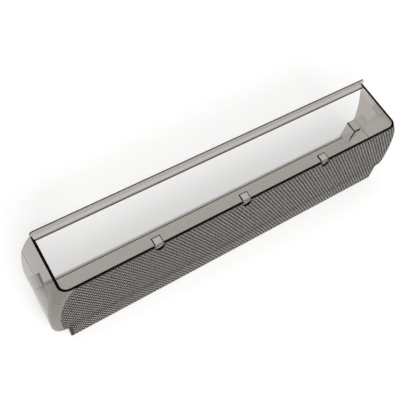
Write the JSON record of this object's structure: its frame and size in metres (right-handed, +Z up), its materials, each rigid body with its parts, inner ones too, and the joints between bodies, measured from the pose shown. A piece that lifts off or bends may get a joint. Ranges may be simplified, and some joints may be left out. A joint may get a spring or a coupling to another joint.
{
  "type": "fridge door shelf",
  "caption": "Open-topped, open-backed door shelf in smoked plastic with bulged ends, a leaning hatched front that runs down as a skirt, and small tabs on its rim.",
  "frame": {"origin": "middle of the footprint, on the surface the shelf stands on (the foot of its skirt and back lip)", "axes": "+X along the shelf, +Y from the front panel towards the door, +Z up"},
  "size_m": [0.4712, 0.0798, 0.1225],
  "materials": {
    "smoked_plastic": "clear, polished, tinted warm grey"
  },
  "bodies": {
    "root": {"door_shelf": "smoked_plastic"}
  },
  "joints": []
}
